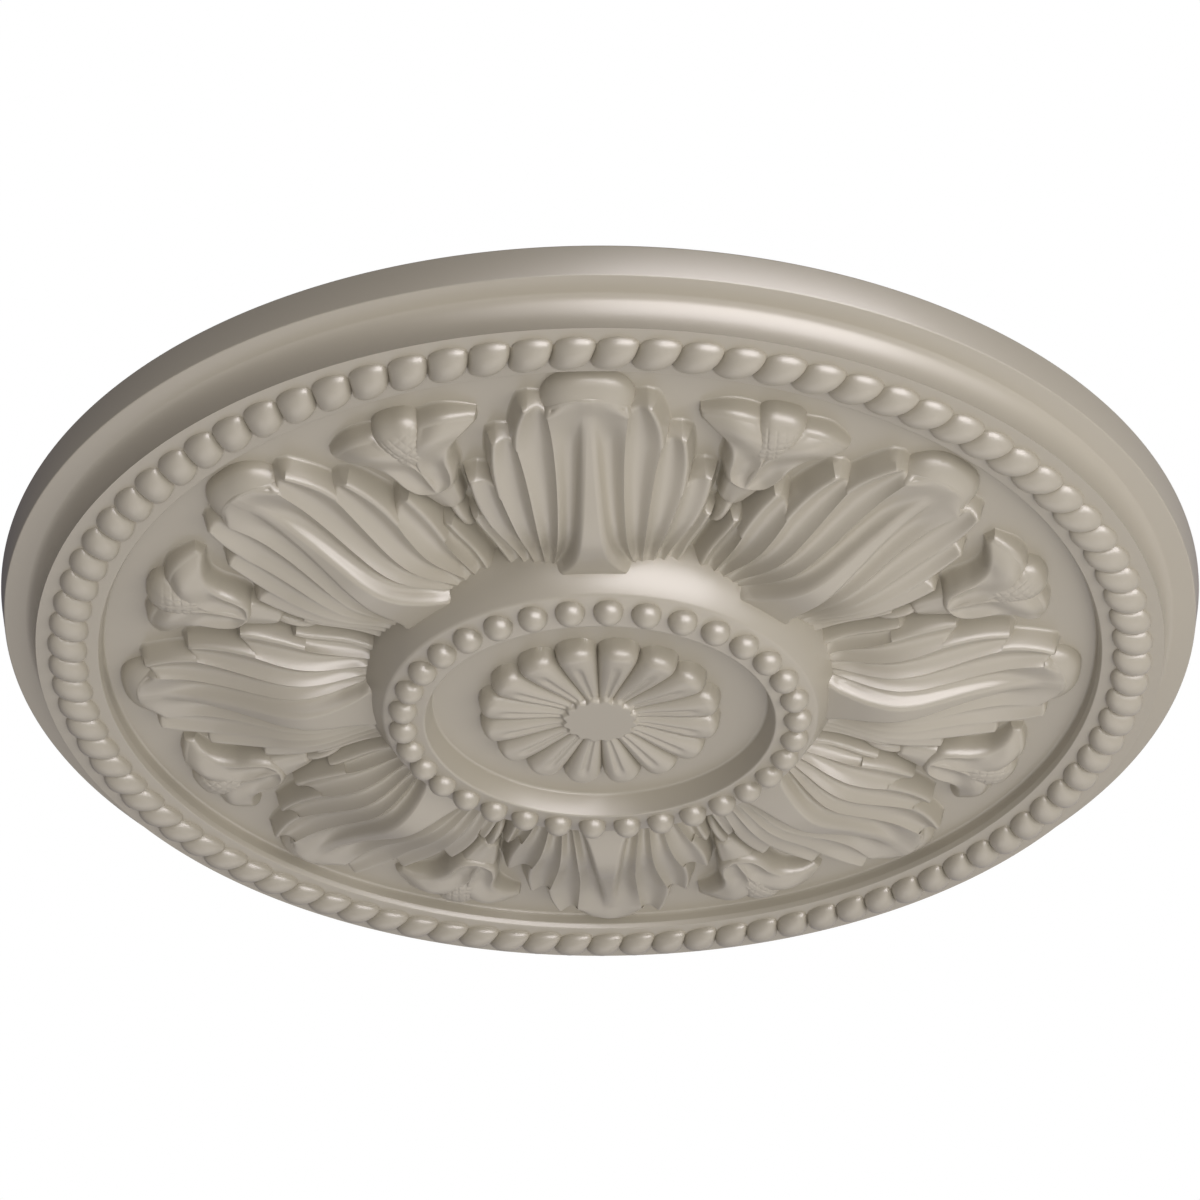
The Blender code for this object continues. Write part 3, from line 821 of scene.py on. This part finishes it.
# Lamps: name, way from the rose, distance, width and height in metres, power in watts
LAMP_WHITE = (1.0, 0.965, 1.03)
GLOSS_LAMPS = [
    ("gloss_core", (0.44, -0.88, -0.16), 2.2, (2.2, 1.9), 84),
    ("gloss_wide", (0.44, -0.88, -0.16), 2.2, (4.9, 1.8), 40),
    ("gloss_below", (0.15, 0.45, -0.90), 2.2, (3.0, 1.6), 9),
]
SOFT_WHITE = (1.0, 0.975, 0.975)
SOFT_LAMPS = [
    ("side_soft", (0.75, -0.45, -0.55), 1.0, (0.8, 0.8), 3.3),
    ("near_fill", (0.10, -0.80, -0.60), 2.2, (1.2, 1.2), 15),
    ("below_fill", (0.20, -0.25, -0.95), 2.2, (1.2, 1.2), 8),
]
# Light from all round: brightest and warmest towards one way, dimmest and coolest behind it
GLOW_WAY = (0.62, 0.12, -0.78)
GLOW_SPAN = (-0.65, 0.95)
GLOW_STRENGTHS = (0.11, 0.60)
GLOW_COOL = (1.0, 0.94, 1.12, 1)
GLOW_WARM = (1.0, 0.985, 0.93, 1)
SEEN_WHITE = (1, 1, 1, 1)


def area_light(name, direction, distance, size, energy, colour):
    """Adds one rectangular lamp that faces the middle of the back."""
    data = bpy.data.lights.new(name, "AREA")
    data.shape = "RECTANGLE"
    data.size = size[0]
    data.size_y = size[1]
    data.energy = energy
    data.color = colour
    lamp = bpy.data.objects.new(name, data)
    bpy.context.scene.collection.objects.link(lamp)
    way = Vector(direction).normalized()
    lamp.location = way * distance
    lamp.rotation_euler = (-way).to_track_quat("-Z", "Y").to_euler()
    lamp.visible_camera = False
    return lamp


def lights():
    """Adds lamps seen only in the gloss, lamps that only shade, and the light from all round."""
    for settings in GLOSS_LAMPS:
        area_light(*settings, LAMP_WHITE).visible_diffuse = False
    for settings in SOFT_LAMPS:
        area_light(*settings, SOFT_WHITE).visible_glossy = False
    world = bpy.data.worlds.new("studio")
    bpy.context.scene.world = world
    world.use_nodes = True
    tree = world.node_tree
    ground = tree.nodes["Background"]
    tint = tree.nodes.new("ShaderNodeMix")
    tint.data_type = "RGBA"
    tint.inputs["A"].default_value = GLOW_COOL
    tint.inputs["B"].default_value = GLOW_WARM
    way = tree.nodes.new("ShaderNodeTexCoord")
    dot = tree.nodes.new("ShaderNodeVectorMath")
    dot.operation = "DOT_PRODUCT"
    dot.inputs[1].default_value = Vector(GLOW_WAY).normalized()
    tree.links.new(way.outputs["Generated"], dot.inputs[0])
    glow = tree.nodes.new("ShaderNodeMapRange")
    glow.interpolation_type = "SMOOTHSTEP"
    glow.inputs["From Min"].default_value = GLOW_SPAN[0]
    glow.inputs["From Max"].default_value = GLOW_SPAN[1]
    glow.inputs["To Min"].default_value = GLOW_STRENGTHS[0]
    glow.inputs["To Max"].default_value = GLOW_STRENGTHS[1]
    tree.links.new(dot.outputs["Value"], glow.inputs["Value"])
    tree.links.new(glow.outputs["Result"], tint.inputs["Factor"])
    tree.links.new(tint.outputs["Result"], ground.inputs["Color"])
    tree.links.new(glow.outputs["Result"], ground.inputs["Strength"])
    seen = tree.nodes.new("ShaderNodeBackground")
    seen.inputs["Color"].default_value = SEEN_WHITE
    seen.inputs["Strength"].default_value = 1.0
    path = tree.nodes.new("ShaderNodeLightPath")
    mix = tree.nodes.new("ShaderNodeMixShader")
    tree.links.new(path.outputs["Is Camera Ray"], mix.inputs["Fac"])
    tree.links.new(ground.outputs["Background"], mix.inputs[1])
    tree.links.new(seen.outputs["Background"], mix.inputs[2])
    tree.links.new(mix.outputs["Shader"], tree.nodes["World Output"].inputs["Surface"])
    bpy.context.scene.view_settings.view_transform = "Standard"


# Studio floor: side and level in metres
STUDIO_SIDE = 14.0
STUDIO_LEVEL = -2.4
STUDIO_COLOUR = (0.85, 0.85, 0.84, 1)
STUDIO_ROUGHNESS = 0.9


def floor():
    """Pale floor far below the ceiling, which neither shades nor shows in the paint."""
    bpy.ops.mesh.primitive_plane_add(size=STUDIO_SIDE, location=(0, 0, STUDIO_LEVEL))
    plane = bpy.context.active_object
    plane.name = "studio_floor"
    material = bpy.data.materials.new("pale_floor")
    material.use_nodes = True
    shader = material.node_tree.nodes["Principled BSDF"]
    shader.inputs["Base Color"].default_value = STUDIO_COLOUR
    shader.inputs["Roughness"].default_value = STUDIO_ROUGHNESS
    plane.data.materials.append(material)
    plane.visible_diffuse = False
    plane.visible_glossy = False


PAINT = painted_foam()
build_all()
camera()
lights()
floor()
